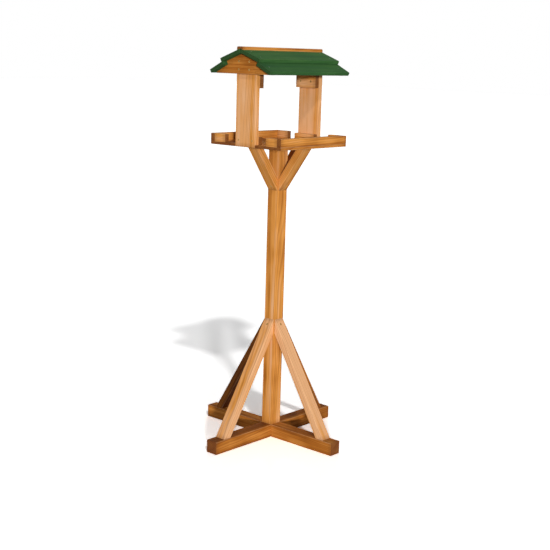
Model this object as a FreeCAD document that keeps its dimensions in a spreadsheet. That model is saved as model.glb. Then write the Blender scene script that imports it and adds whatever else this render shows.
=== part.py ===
import FreeCAD, Part
import os
import re
import Sketcher

# Bird table on a post. The roof ridge runs along X, left is -X, right is +X, front is -Y and
# back is +Y. The origin is the middle of the base, on the ground.

SIZES = {
    # stand
    "post_width": 50,
    "post_length": 1062,
    "foot_length": 640,
    "foot_width": 50,
    "foot_height": 48,
    # braces, each with its run out from the post and its rise up the post
    "brace_width": 45,
    "brace_depth": 28,
    "lower_brace_run": 252,
    "lower_brace_rise": 413,
    "upper_brace_run": 118,
    "upper_brace_rise": 165,
    # tray
    "tray_length": 360,
    "tray_width": 344,
    "floor_thickness": 10,
    "rail_height": 30,
    "rail_thickness": 20,
    "drain_gap": 52,
    # uprights and the battens on their inner faces
    "upright_width": 95,
    "upright_thickness": 20,
    "batten_thickness": 20,
    "foot_batten_height": 28,
    "head_batten_height": 48,
    # roof
    "roof_rise": 256,
    "gable_width": 268,
    "gable_thickness": 14,
    "roof_length": 432,
    "roof_half_span": 147,
    "lower_pitch": 26.5,
    "upper_pitch": 20,
    "roof_board_thickness": 13,
    "lower_board_width": 70,
    "upper_board_width": 97.5,
    "cap_width": 28,
    "cap_side_height": 12,
    "cap_bevel": 3,
    # fasteners
    "base_screw_length": 85,
    "base_screw_diameter": 6,
    "post_screw_spacing": 22,
    "brace_screw_length": 38,
    "brace_screw_diameter": 4.5,
    "foot_screw_length": 58,
    "foot_screw_recess": 18,
    "brace_screw_inset": 10,
    "board_screw_length": 32,
    "board_screw_diameter": 4,
    "board_screw_spacing": 50,
    "upright_screw_spacing": 66,
    "batten_screw_spacing": 26,
    "rail_screw_inset": 14,
    "gable_screw_rise": 15,
    "gable_screw_pitch": 28,
    "nail_length": 26,
    "cap_nail_length": 40,
    "nail_diameter": 2.5,
    "lower_nail_inset": 34,
    "upper_nail_inset": 24,
    "upper_nail_pitch": 48,
    "head_ratio": 2,
    "head_rim": 0.6,
    "head_sink": 0.4,
    # fits
    "arris": 1,
    "lap_clearance": 0.2,
    "bore_clearance": 0.15,
    "bore_overrun": 1,
}

# Heights of the floor and the roof, as formulas of the sizes
FLOOR_BOTTOM = "(foot_height + post_length)"
FLOOR_TOP = f"({FLOOR_BOTTOM} + floor_thickness)"
ROOF_BOTTOM = f"({FLOOR_BOTTOM} + roof_rise)"

# Section of the roof on its back half, as distances from the ridge line and heights. The lower
# board lies on the gable's lower slope, and the upper board rests on its inner top edge.
EAVE_Y = "(roof_half_span - roof_board_thickness * sin(lower_pitch))"
LAP_Y = f"({EAVE_Y} - lower_board_width * cos(lower_pitch))"
LAP_Z = f"({ROOF_BOTTOM} + lower_board_width * sin(lower_pitch))"
EDGE_Y = f"({LAP_Y} + roof_board_thickness * sin(lower_pitch))"
EDGE_Z = f"({LAP_Z} + roof_board_thickness * cos(lower_pitch))"
APEX_Z = f"({EDGE_Z} + {EDGE_Y} * tan(upper_pitch))"
RIDGE_Z = f"({APEX_Z} + roof_board_thickness / cos(upper_pitch))"
CAP_SIDE_Z = f"({RIDGE_Z} - cap_width / 2 * tan(upper_pitch))"
CAP_TOP_Z = f"({CAP_SIDE_Z} + cap_side_height)"

# Faces that several pieces share
POST_FACE = "(post_width / 2)"
UPRIGHT_OUTER_X = "(tray_length / 2)"
BATTEN_MIDDLE_X = "(tray_length / 2 - upright_thickness - batten_thickness / 2)"
BATTEN_INNER_X = "(tray_length / 2 - upright_thickness - batten_thickness)"
GABLE_MIDDLE_X = "(tray_length / 2 + gable_thickness / 2)"
RAIL_MIDDLE_X = "(tray_length / 2 - rail_thickness / 2)"
RAIL_MIDDLE_Y = "(tray_width / 2 - rail_thickness / 2)"
END_RAIL_INNER_Y = "(upright_width / 2 + drain_gap)"
END_RAIL_OUTER_Y = "(tray_width / 2 - rail_thickness)"

X_AXIS = FreeCAD.Vector(1, 0, 0)
Y_AXIS = FreeCAD.Vector(0, 1, 0)
Z_AXIS = FreeCAD.Vector(0, 0, 1)
SIDES = {"left": -1, "right": 1}
FACES = {"front": -1, "back": 1}
QUARTERS = {"right": 0, "back": 90, "left": 180, "front": 270}

doc = FreeCAD.newDocument("bird_table")
sheet = doc.addObject("Spreadsheet::Sheet", "Sizes")
for row, (alias, value) in enumerate(SIZES.items(), start=1):
    sheet.set(f"A{row}", alias)
    sheet.set(f"B{row}", str(value))
    sheet.setAlias(f"B{row}", alias)
doc.recompute()

pieces = []


def formula(text):
    """Point the name of each size in a formula at its cell."""
    return re.sub(r"[a-z_]+", lambda word: f"Sizes.{word[0]}" if word[0] in SIZES else word[0], text)


def amount(text):
    """The number that a formula gives now."""
    return float(sheet.evalExpression(formula(text)))


def move(item, x="0", y="0", z="0", axis=Z_AXIS, angle=0, tilt=None):
    """Place an item at three formulas, turned about an axis by a fixed angle or by a formula."""
    item.Placement = FreeCAD.Placement(FreeCAD.Vector(), FreeCAD.Rotation(axis, angle))
    for direction, text in zip("xyz", (x, y, z)):
        item.setExpression(f"Placement.Base.{direction}", formula(text))
    if tilt:
        item.Placement = FreeCAD.Placement(FreeCAD.Vector(), FreeCAD.Rotation(axis, 1))
        item.setExpression("Placement.Rotation.Angle", formula(tilt))
    return item


def outline(body, plane, corners):
    """Closed straight-sided sketch on an origin plane, each corner held by two formulas."""
    sketch = body.newObject("Sketcher::SketchObject", f"{body.Name}_outline")
    support = [item for item in body.Origin.OriginFeatures if item.Role == plane][0]
    sketch.AttachmentSupport = [(support, "")]
    sketch.MapMode = "FlatFace"
    points = [FreeCAD.Vector(amount(across), amount(up), 0) for across, up in corners]
    count = len(points)
    for index in range(count):
        sketch.addGeometry(Part.LineSegment(points[index], points[(index + 1) % count]))
    for index in range(count):
        sketch.addConstraint(Sketcher.Constraint("Coincident", index, 2, (index + 1) % count, 1))
    for index, texts in enumerate(corners):
        for kind, text, start in zip(("DistanceX", "DistanceY"), texts, points[index]):
            rule = sketch.addConstraint(Sketcher.Constraint(kind, -1, 1, index, 1, start))
            sketch.setExpression(f"Constraints[{rule}]", formula(text))
    return sketch


def prism(label, plane, corners, length, eased=True):
    """Timber cut to an outline and as long as a formula, half of it on each side of the plane."""
    body = doc.addObject("PartDesign::Body", label)
    pad = body.newObject("PartDesign::Pad", f"{label}_pad")
    pad.Profile = outline(body, plane, corners)
    pad.Midplane = True
    pad.setExpression("Length", formula(length))
    if eased:
        doc.recompute()
        chamfer = body.newObject("PartDesign::Chamfer", f"{label}_arris")
        chamfer.Base = (pad, [])
        chamfer.UseAllEdges = True
        chamfer.setExpression("Size", formula("arris"))
    return body


def bar(label, across, up, length, plane="XZ_Plane"):
    """Timber of rectangular section, centred on its own origin."""
    half_across, half_up = f"({across}) / 2", f"({up}) / 2"
    corners = [(f"-{half_across}", f"-{half_up}"), (half_across, f"-{half_up}"),
               (half_across, half_up), (f"-{half_across}", half_up)]
    return prism(label, plane, corners, length)


def block(label, sizes, x="0", y="0", z="0"):
    """Plain box whose middle lies at three formulas."""
    box = doc.addObject("Part::Box", label)
    for side, text in zip(("Length", "Width", "Height"), sizes):
        box.setExpression(side, formula(text))
    for direction, middle, text in zip("xyz", (x, y, z), sizes):
        box.setExpression(f"Placement.Base.{direction}", formula(f"{middle} - ({text}) / 2"))
    return box


def gather(label, items):
    """Compound of items that stay where they are."""
    group = doc.addObject("Part::Compound", label)
    group.Links = items
    return group


def finish(label, blank, cuts):
    """A piece of the table: its blank with the bores and recesses taken out."""
    piece = doc.addObject("Part::Cut", label)
    piece.Base = blank
    piece.Tool = gather(f"{label}_cuts", cuts)
    pieces.append(piece)
    return piece


def copy(label, source, **place):
    """Linked copy of an item at another place."""
    link = doc.addObject("App::Link", label)
    link.LinkedObject = source
    return move(link, **place)


def around_post(label, source):
    """Four linked copies of a placed item, turned about the post by quarters."""
    single = gather(f"{label}_single", [source])
    turned = [copy(f"{label}_{side}", single, angle=turn) for side, turn in QUARTERS.items()]
    return gather(label, turned)


def revolved(label, corners):
    """Body of revolution about Z from a half section."""
    body = doc.addObject("PartDesign::Body", label)
    turn = body.newObject("PartDesign::Revolution", f"{label}_turn")
    turn.Profile = outline(body, "XZ_Plane", corners)
    turn.ReferenceAxis = (turn.Profile[0], ["V_Axis"])
    turn.Angle = 360
    return body


def fastener(label, diameter, length, sink="head_sink"):
    """Countersunk screw or nail pointing down from the origin, and the bore that takes it, which
    opens through a face that lies as high over the head as the sink."""
    solids = []
    bore_mouth = f"({sink} + bore_overrun)"
    for suffix, grow, entry in (("", "0", "0"), ("_bore", "bore_clearance", bore_mouth)):
        shank = f"({diameter} / 2 + {grow})"
        head = f"({diameter} * head_ratio / 2 + {grow})"
        cone_end = f"(head_rim + {diameter} * (head_ratio - 1) / 2 + {grow})"
        point_start = f"({length} - {diameter} + {grow})"
        corners = [("0", entry), (head, entry), (head, "-head_rim"), (shank, f"-{cone_end}"),
                   (shank, f"-{point_start}"), ("0", f"-({length} + {grow})")]
        solids.append(revolved(label + suffix, corners))
    return solids


base_screw = fastener("base_screw", "base_screw_diameter", "base_screw_length")
brace_screw = fastener("brace_screw", "brace_screw_diameter", "brace_screw_length")
foot_screw = fastener(
    "foot_screw", "brace_screw_diameter", "foot_screw_length", "foot_screw_recess")
post_screw = fastener("post_screw", "brace_screw_diameter", "foot_screw_length")
board_screw = fastener("board_screw", "board_screw_diameter", "board_screw_length")
roof_nail = fastener("roof_nail", "nail_diameter", "nail_length")
cap_nail = fastener("cap_nail", "nail_diameter", "cap_nail_length")


def fasten(label, kind, spots, **turn):
    """Fasteners of one kind at spots, kept as one piece. Gives the bores for them."""
    groups = []
    for solid, suffix in zip(kind, ("", "_bores")):
        links = [copy(f"{label}{suffix}_{number}", solid, x=x, y=y, z=z, **turn)
                 for number, (x, y, z) in enumerate(spots, start=1)]
        groups.append(gather(label + suffix, links))
    pieces.append(groups[0])
    return groups[1]


def fasten_around(label, kind, spot, **turn):
    """One fastener on the right side, repeated round the post. Gives one bore and all four."""
    x, z = spot
    solid, bore = kind
    first = copy(f"{label}_first", solid, x=x, z=z, **turn)
    first_bore = copy(f"{label}_first_bore", bore, x=x, z=z, **turn)
    pieces.append(around_post(label, first))
    return first_bore, around_post(f"{label}_bores", first_bore)


def brace_plan(rest, run, rise, way):
    """Section of the brace on the right side, and where its two screws go. The toe rests at one
    height, and the tip meets the post a rise above it, or below it where the way is -1."""
    tip = f"({rest} + {way} * {rise})"
    slope = f"atan({run} / {rise})"
    toe = f"{POST_FACE} + {run}"
    heel = f"{toe} - brace_depth / cos({slope})"
    mitre = f"(brace_depth / sin({slope}))"
    section = [(toe, rest), (POST_FACE, tip), (POST_FACE, f"{tip} - {way} * {mitre}"), (heel, rest)]
    toe_screw_x = f"{heel} + brace_screw_inset"
    down_face = f"({mitre} / 2 * cos({slope}))"
    post_screw_x = f"{POST_FACE} + {down_face} * sin({slope}) - head_sink * cos({slope})"
    post_screw_z = f"{tip} - {way} * ({down_face} * cos({slope}) + head_sink * sin({slope}))"
    return section, toe_screw_x, (post_screw_x, post_screw_z)


LOWER_SECTION, FOOT_SCREW_X, LOWER_POST_SCREW = brace_plan(
    "foot_height", "lower_brace_run", "lower_brace_rise", 1)
UPPER_SECTION, FLOOR_SCREW_X, UPPER_POST_SCREW = brace_plan(
    FLOOR_BOTTOM, "upper_brace_run", "upper_brace_rise", -1)

# Screws through the base
base_bores = fasten(
    "post_base_screws", base_screw,
    [("post_screw_spacing / 2", "post_screw_spacing / 2", "head_sink"),
     ("-post_screw_spacing / 2", "-post_screw_spacing / 2", "head_sink")],
    axis=X_AXIS, angle=180)
foot_bore, foot_bores = fasten_around(
    "lower_brace_foot_screws", foot_screw, (FOOT_SCREW_X, "foot_screw_recess"),
    axis=X_AXIS, angle=180)

# Screws square to the braces' outer faces, into the post
lower_post_bore, lower_post_bores = fasten_around(
    "lower_brace_post_screws", brace_screw, LOWER_POST_SCREW,
    axis=Y_AXIS, tilt="atan(lower_brace_rise / lower_brace_run)")
upper_post_bore, upper_post_bores = fasten_around(
    "upper_brace_post_screws", brace_screw, UPPER_POST_SCREW,
    axis=Y_AXIS, tilt="90 deg + atan(upper_brace_run / upper_brace_rise)")

# Screws down through the tray floor into the braces and the post
floor_brace_bore, floor_brace_bores = fasten_around(
    "upper_brace_floor_screws", brace_screw, (FLOOR_SCREW_X, f"{FLOOR_TOP} - head_sink"))
post_top_bores = fasten(
    "post_top_screws", post_screw,
    [("post_screw_spacing / 2", "post_screw_spacing / 2", f"{FLOOR_TOP} - head_sink"),
     ("-post_screw_spacing / 2", "-post_screw_spacing / 2", f"{FLOOR_TOP} - head_sink")])

# Screws up through the tray floor into the rails and the foot battens
FROM_BELOW = f"{FLOOR_BOTTOM} + head_sink"
rail_bores = fasten(
    "rail_screws", board_screw,
    [(f"{step} * (tray_length / 2 - rail_thickness - rail_screw_inset)",
      f"{face} * {RAIL_MIDDLE_Y}", FROM_BELOW)
     for face in FACES.values() for step in (-1, 0, 1)],
    axis=X_AXIS, angle=180)
end_rail_bores = fasten(
    "end_rail_screws", board_screw,
    [(f"{side} * {RAIL_MIDDLE_X}", f"{face} * ({end})", FROM_BELOW)
     for side in SIDES.values() for face in FACES.values()
     for end in (f"{END_RAIL_INNER_Y} + rail_screw_inset", f"{END_RAIL_OUTER_Y} - rail_screw_inset")],
    axis=X_AXIS, angle=180)
foot_batten_bores = fasten(
    "foot_batten_screws", board_screw,
    [(f"{side} * {BATTEN_MIDDLE_X}", f"{face} * batten_screw_spacing / 2", FROM_BELOW)
     for side in SIDES.values() for face in FACES.values()],
    axis=X_AXIS, angle=180)

# Screws across the uprights, set once for each side
upright_bores, head_bores, gable_bores = {}, {}, {}
for side, sign in SIDES.items():
    upright_bores[side] = fasten(
        f"upright_screws_{side}", board_screw,
        [(f"{sign} * ({UPRIGHT_OUTER_X} - head_sink)", f"{face} * upright_screw_spacing / 2",
          f"{FLOOR_TOP} + foot_batten_height / 2") for face in FACES.values()],
        axis=Y_AXIS, angle=90 * sign)
    head_bores[side] = fasten(
        f"head_batten_screws_{side}", board_screw,
        [(f"{sign} * ({BATTEN_INNER_X} + head_sink)", f"{face} * board_screw_spacing / 2",
          f"{ROOF_BOTTOM} - head_batten_height / 2") for face in FACES.values()],
        axis=Y_AXIS, angle=-90 * sign)
    gable_bores[side] = fasten(
        f"gable_screws_{side}", board_screw,
        [(f"{sign} * ({UPRIGHT_OUTER_X} + gable_thickness - head_sink)",
          f"{face} * board_screw_spacing / 2",
          f"{ROOF_BOTTOM} + gable_screw_rise + {step} * gable_screw_pitch")
         for face in FACES.values() for step in (0, 1)],
        axis=Y_AXIS, angle=90 * sign)

# Nails square to the roof boards, over the middle of each gable board


def nail_spots(sign, y, z, pitch, insets):
    """Heads of the nails in one roof board, at insets down the slope from its inner lower edge."""
    return [(f"{side} * {GABLE_MIDDLE_X}",
             f"{sign} * ({y} + ({inset}) * cos({pitch})"
             f" + (roof_board_thickness - head_sink) * sin({pitch}))",
             f"{z} - ({inset}) * sin({pitch}) + (roof_board_thickness - head_sink) * cos({pitch})")
            for side in SIDES.values() for inset in insets]


lower_nail_bores, upper_nail_bores = {}, {}
for face, sign in FACES.items():
    lower_nail_bores[face] = fasten(
        f"lower_roof_nails_{face}", roof_nail,
        nail_spots(sign, LAP_Y, LAP_Z, "lower_pitch", ["lower_nail_inset"]),
        axis=X_AXIS * -sign, tilt="1 deg * lower_pitch")
    upper_nail_bores[face] = fasten(
        f"upper_roof_nails_{face}", roof_nail,
        nail_spots(sign, "0", APEX_Z, "upper_pitch",
                   ["upper_nail_inset", "upper_nail_inset + upper_nail_pitch"]),
        axis=X_AXIS * -sign, tilt="1 deg * upper_pitch")
cap_nail_bores = fasten(
    "ridge_cap_nails", cap_nail,
    [(f"{side} * {GABLE_MIDDLE_X}", "0", f"{CAP_TOP_Z} - head_sink") for side in SIDES.values()])

# Two foot bars, halved into each other where they cross
foot_bar_x = bar("foot_bar_x_blank", "foot_length", "foot_height", "foot_width")
move(foot_bar_x, z="foot_height / 2")
lap_sizes = ("foot_width + 2 * lap_clearance", "foot_width + 2 * lap_clearance", "foot_height / 2")
upper_lap = block("foot_bar_x_lap", lap_sizes, z="foot_height * 3 / 4")
finish("foot_bar_x", foot_bar_x, [upper_lap, base_bores, foot_bores])
foot_bar_y = bar("foot_bar_y_blank", "foot_length", "foot_height", "foot_width", "YZ_Plane")
move(foot_bar_y, z="foot_height / 2")
lower_lap = block("foot_bar_y_lap", lap_sizes, z="foot_height / 4")
finish("foot_bar_y", foot_bar_y, [lower_lap, base_bores, foot_bores])

# Post, standing on the crossed bars
post = bar("post_blank", "post_width", "post_width", "post_length", "XY_Plane")
move(post, z="foot_height + post_length / 2")
finish("post", post, [base_bores, lower_post_bores, upper_post_bores, post_top_bores])

# Braces with long mitres, four below and four above
for side, turn in QUARTERS.items():
    lower = prism(f"lower_brace_{side}_blank", "XZ_Plane", LOWER_SECTION, "brace_width")
    move(finish(f"lower_brace_{side}", lower, [foot_bore, lower_post_bore]), angle=turn)
    upper = prism(f"upper_brace_{side}_blank", "XZ_Plane", UPPER_SECTION, "brace_width")
    move(finish(f"upper_brace_{side}", upper, [upper_post_bore, floor_brace_bore]), angle=turn)

# Tray floor, notched at both ends for the uprights
floor_blank = bar("tray_floor_blank", "tray_length", "floor_thickness", "tray_width")
move(floor_blank, z=f"{FLOOR_BOTTOM} + floor_thickness / 2")
notches = [
    block(f"tray_floor_notch_{side}",
          ("2 * upright_thickness", "upright_width + 2 * lap_clearance", "2 * floor_thickness"),
          x=f"{sign} * {UPRIGHT_OUTER_X}", z=f"{FLOOR_BOTTOM} + floor_thickness / 2")
    for side, sign in SIDES.items()]
finish("tray_floor", floor_blank,
       notches + [floor_brace_bores, post_top_bores, rail_bores, end_rail_bores, foot_batten_bores])

# Rails round the floor: two long ones, and four short ones that leave a gap beside each upright
RAIL_MIDDLE_Z = f"{FLOOR_TOP} + rail_height / 2"
for face, sign in FACES.items():
    rail = bar(f"tray_rail_{face}_blank", "tray_length", "rail_height", "rail_thickness")
    move(rail, y=f"{sign} * {RAIL_MIDDLE_Y}", z=RAIL_MIDDLE_Z)
    finish(f"tray_rail_{face}", rail, [rail_bores])
for side, side_sign in SIDES.items():
    for face, face_sign in FACES.items():
        label = f"end_rail_{side}_{face}"
        rail = bar(f"{label}_blank", "rail_thickness", "rail_height",
                   f"{END_RAIL_OUTER_Y} - {END_RAIL_INNER_Y}")
        move(rail, x=f"{side_sign} * {RAIL_MIDDLE_X}",
             y=f"{face_sign} * ({END_RAIL_OUTER_Y} + {END_RAIL_INNER_Y}) / 2", z=RAIL_MIDDLE_Z)
        finish(label, rail, [end_rail_bores])

# Uprights with roof-shaped tops, their battens, and the gable boards outside them
SHOULDER_Z = f"({APEX_Z} - upright_width / 2 * tan(upper_pitch))"
UPRIGHT = [
    ("-upright_width / 2", FLOOR_BOTTOM),
    ("upright_width / 2", FLOOR_BOTTOM),
    ("upright_width / 2", SHOULDER_Z),
    ("0", APEX_Z),
    ("-upright_width / 2", SHOULDER_Z)]
GABLE_END_Z = f"({ROOF_BOTTOM} + ({EAVE_Y} - gable_width / 2) * tan(lower_pitch))"
GABLE = [
    ("-gable_width / 2", ROOF_BOTTOM),
    ("gable_width / 2", ROOF_BOTTOM),
    ("gable_width / 2", GABLE_END_Z),
    (LAP_Y, LAP_Z),
    (EDGE_Y, EDGE_Z),
    ("0", APEX_Z),
    (f"-{EDGE_Y}", EDGE_Z),
    (f"-{LAP_Y}", LAP_Z),
    ("-gable_width / 2", GABLE_END_Z)]
all_nail_bores = [*lower_nail_bores.values(), *upper_nail_bores.values(), cap_nail_bores]
for side, sign in SIDES.items():
    upright = prism(f"upright_{side}_blank", "YZ_Plane", UPRIGHT, "upright_thickness")
    move(upright, x=f"{sign} * ({UPRIGHT_OUTER_X} - upright_thickness / 2)")
    finish(f"upright_{side}", upright, [upright_bores[side], head_bores[side], gable_bores[side]])
    foot_batten = bar(f"foot_batten_{side}_blank", "batten_thickness", "foot_batten_height",
                      "upright_width")
    move(foot_batten, x=f"{sign} * {BATTEN_MIDDLE_X}", z=f"{FLOOR_TOP} + foot_batten_height / 2")
    finish(f"foot_batten_{side}", foot_batten, [upright_bores[side], foot_batten_bores])
    head_batten = bar(f"head_batten_{side}_blank", "batten_thickness", "head_batten_height",
                      "upright_width")
    move(head_batten, x=f"{sign} * {BATTEN_MIDDLE_X}", z=f"{ROOF_BOTTOM} - head_batten_height / 2")
    finish(f"head_batten_{side}", head_batten, [head_bores[side]])
    gable = prism(f"gable_board_{side}_blank", "YZ_Plane", GABLE, "gable_thickness", eased=False)
    move(gable, x=f"{sign} * {GABLE_MIDDLE_X}")
    finish(f"gable_board_{side}", gable, [gable_bores[side], *all_nail_bores])

# Roof boards: on each slope the upper one laps over the lower one
for face, sign in FACES.items():
    for level, width, pitch, y, z, bores in (
            ("lower", "lower_board_width", "lower_pitch", LAP_Y, LAP_Z, [lower_nail_bores[face]]),
            ("upper", "upper_board_width", "upper_pitch", "0", APEX_Z,
             [upper_nail_bores[face], cap_nail_bores])):
        label = f"roof_board_{level}_{face}"
        corners = [("0", "0"), (f"{sign} * {width}", "0"),
                   (f"{sign} * {width}", "roof_board_thickness"), ("0", "roof_board_thickness")]
        board = prism(f"{label}_blank", "YZ_Plane", corners, "roof_length")
        move(board, y=f"{sign} * {y}", z=z, axis=X_AXIS * -sign, tilt=f"1 deg * {pitch}")
        finish(label, board, bores)

# Ridge cap, grooved underneath to sit on both slopes
CAP = [
    ("-cap_width / 2", CAP_SIDE_Z),
    ("0", RIDGE_Z),
    ("cap_width / 2", CAP_SIDE_Z),
    ("cap_width / 2", f"{CAP_TOP_Z} - cap_bevel"),
    ("cap_width / 2 - cap_bevel", CAP_TOP_Z),
    ("-(cap_width / 2 - cap_bevel)", CAP_TOP_Z),
    ("-cap_width / 2", f"{CAP_TOP_Z} - cap_bevel")]
cap = prism("ridge_cap_blank", "YZ_Plane", CAP, "roof_length", eased=False)
finish("ridge_cap", cap, [cap_nail_bores])

doc.recompute()
for item in doc.Objects:
    if {"Invalid", "Error"} & set(item.State):
        raise RuntimeError(f"{item.Label} did not build: {item.State}")
for piece in pieces:
    if piece.Shape.isNull() or not piece.Shape.isValid():
        raise RuntimeError(f"{piece.Label} has no valid shape")

os.makedirs("parts", exist_ok=True)
for piece in pieces:
    piece.Shape.exportStep(f"parts/{piece.Label}.step")
    print(f"{piece.Label}: {len(piece.Shape.Solids)} solids, {piece.Shape.Volume:.0f} mm3")
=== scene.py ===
"""Bird table: stained timber, green roof boards, screws and nails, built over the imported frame."""
import math
import random

import bmesh
import bpy
from bpy.props import FloatProperty, FloatVectorProperty, IntProperty, PointerProperty
from mathutils import Matrix, Vector


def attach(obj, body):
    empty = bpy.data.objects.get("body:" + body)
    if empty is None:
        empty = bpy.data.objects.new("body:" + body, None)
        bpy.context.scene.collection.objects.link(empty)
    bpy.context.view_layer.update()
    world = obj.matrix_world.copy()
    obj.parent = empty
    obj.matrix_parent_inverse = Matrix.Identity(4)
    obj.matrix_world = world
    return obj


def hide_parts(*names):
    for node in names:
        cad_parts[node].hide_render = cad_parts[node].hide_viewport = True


bl_info = {
    "name": "Bird Table",
    "version": (1, 0, 0),
    "blender": (4, 5, 0),
    "location": "3D View > Sidebar > Bird Table",
    "description": "Builds the timber, the roof and the fasteners of a bird table over its frame",
    "category": "Add Mesh",
}

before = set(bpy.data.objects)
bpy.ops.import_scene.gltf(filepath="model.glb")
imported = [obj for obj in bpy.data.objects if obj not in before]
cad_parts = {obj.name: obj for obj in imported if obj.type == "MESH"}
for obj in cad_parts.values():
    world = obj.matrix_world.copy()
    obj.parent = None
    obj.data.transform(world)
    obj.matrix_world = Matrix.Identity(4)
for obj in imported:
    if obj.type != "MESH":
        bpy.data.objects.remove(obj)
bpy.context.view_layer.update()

X = Vector((1, 0, 0))
Y = Vector((0, 1, 0))
Z = Vector((0, 0, 1))
SIDES = {"left": -X, "right": X}
FACES = {"front": -Y, "back": Y}
OUTWARD = {**SIDES, **FACES}

SCREW_NODES = (
    "post_base_screws", "lower_brace_foot_screws", "lower_brace_post_screws",
    "upper_brace_post_screws", "upper_brace_floor_screws", "post_top_screws", "rail_screws",
    "end_rail_screws", "foot_batten_screws", "upright_screws_left", "upright_screws_right",
    "head_batten_screws_left", "head_batten_screws_right", "gable_screws_left",
    "gable_screws_right")
NAIL_NODES = (
    "lower_roof_nails_front", "lower_roof_nails_back", "upper_roof_nails_front",
    "upper_roof_nails_back", "ridge_cap_nails")

# Depth of the stain on each kind of timber, from 0 for the palest to 1 for the darkest
# Lower braces: the near ones' pale value is partly painted light, and the far ones' deep value is
# partly painted shade from the near braces and the post; the rest is a real difference of stain
# The head battens' paler value than the foot battens' is painted light that offsets the shade under
# the roof
TONES = {
    "foot_bar_x": 0.7, "foot_bar_y": 0.6, "post": 0.37, "near_lower_brace": 0.08,
    "far_lower_brace": 0.9, "upper_brace": 0.3, "tray_floor": 0.45, "tray_rail": 0.5,
    "end_rail": 0.32, "upright": 0.18, "foot_batten": 0.32, "head_batten": 0.22,
    "gable_board": 0.66, "roof_board_upper": 0.45, "roof_board_lower": 0.6, "ridge_cap": 0.5}
TONE_SPREAD = 0.05  # How much lighter or darker than its kind a timber may be
ARRIS_SPREAD = 0.15  # Share by which a timber's arrises may be wider or narrower
TIMBER_CREASE = math.radians(50)  # Timber faces at more than this angle meet in a sharp edge
STEEL_CREASE = math.radians(35)  # The same for a fastener
ROUND_STEPS = 16  # Flat faces round a screw, a nail or a bore
TINY = 0.00001  # Metres, smaller than anything modelled


def linear(code):
    """Linear colour of an sRGB hex value."""
    shares = [int(code[start:start + 2], 16) / 255 for start in (0, 2, 4)]
    return [share / 12.92 if share <= 0.04045 else ((share + 0.055) / 1.055) ** 2.4
            for share in shares]


def length_property(name, description, metres):
    return FloatProperty(name=name, description=description, default=metres, min=0,
                         precision=4, unit="LENGTH")


def angle_property(name, description, degrees):
    return FloatProperty(name=name, description=description, default=math.radians(degrees),
                         subtype="ANGLE")


def number_property(name, description, value):
    return FloatProperty(name=name, description=description, default=value)


def share_property(name, description, value):
    return FloatProperty(name=name, description=description, default=value, min=0, max=1,
                         subtype="FACTOR")


def colour_property(name, description, code):
    return FloatVectorProperty(name=name, description=description, default=linear(code),
                               size=3, min=0, max=1, subtype="COLOR")


class TimberSettings(bpy.types.PropertyGroup):
    """Planed softwood under a golden-brown stain."""

    arris: length_property("Arris", "Radius of the eased edges", 0.0014)
    fit_gap: length_property("Fit gap", "Gap on each side of a notch or a halving", 0.0002)
    cap_bevel: length_property("Cap bevel", "Bevel along the ridge cap's top edges", 0.003)
    ring_pitch: length_property("Ring pitch", "Distance between two growth rings", 0.0058)
    knot_spacing: length_property("Knot spacing", "Distance between knots along a timber", 0.19)
    pale_stain: colour_property("Pale stain", "Stain on the palest timber", "EDB785")
    golden_stain: colour_property("Golden stain", "Stain on most of the timber", "E19A48")
    deep_stain: colour_property("Deep stain", "Stain on the deeper timber", "AC671F")
    dark_stain: colour_property("Dark stain", "Stain on the darkest timber", "6E3C12")
    late_wood: colour_property("Late wood", "Tint of a growth ring's dark half", "A6783F")
    knot: colour_property("Knot", "Heart of a knot", "4A260E")
    end_grain: colour_property("End grain", "Sawn ends, which drink more stain", "703E1A")
    rubbed: colour_property("Rubbed edges", "Arrises where the stain is rubbed thin", "F2C89A")


class RoofSettings(bpy.types.PropertyGroup):
    """Planed softwood under a green stain."""

    green_thin: colour_property("Thin green", "Stain worn thin on the raised grain", "4A7039")
    green_stain: colour_property("Green stain", "Stain on the roof boards", "34602F")
    green_deep: colour_property("Deep green", "Stain where it has pooled", "234B2A")
    green_late: colour_property("Green late wood", "Tint of a ring's dark half", "9AAEA0")
    green_end: colour_property("Green end grain", "Sawn ends and edges", "27421F")


class FastenerSettings(bpy.types.PropertyGroup):
    """Countersunk screws and flat-headed nails."""

    bore_gap: length_property("Bore gap", "Gap between a shank and its bore", 0.00015)
    bore_mouth: length_property("Bore mouth", "How far a bore opens past the face", 0.0015)
    thread_pitch: length_property("Thread pitch", "Distance between two turns", 0.0022)
    thread_depth: share_property("Thread depth", "Depth of the thread in the shank", 0.3)
    recess_depth: share_property("Recess depth", "Depth of the cross recess in the head", 0.75)
    recess_span: share_property("Recess span", "Span of the cross recess in the head", 0.6)
    turn_seed: IntProperty(name="Turn seed", description="Seed of the heads' turns", default=7)
    zinc: colour_property("Zinc", "Yellow zinc plating on the screws", "B28C52")
    galvanised: colour_property("Galvanised", "Zinc coat on the nails", "8C918C")


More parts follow.
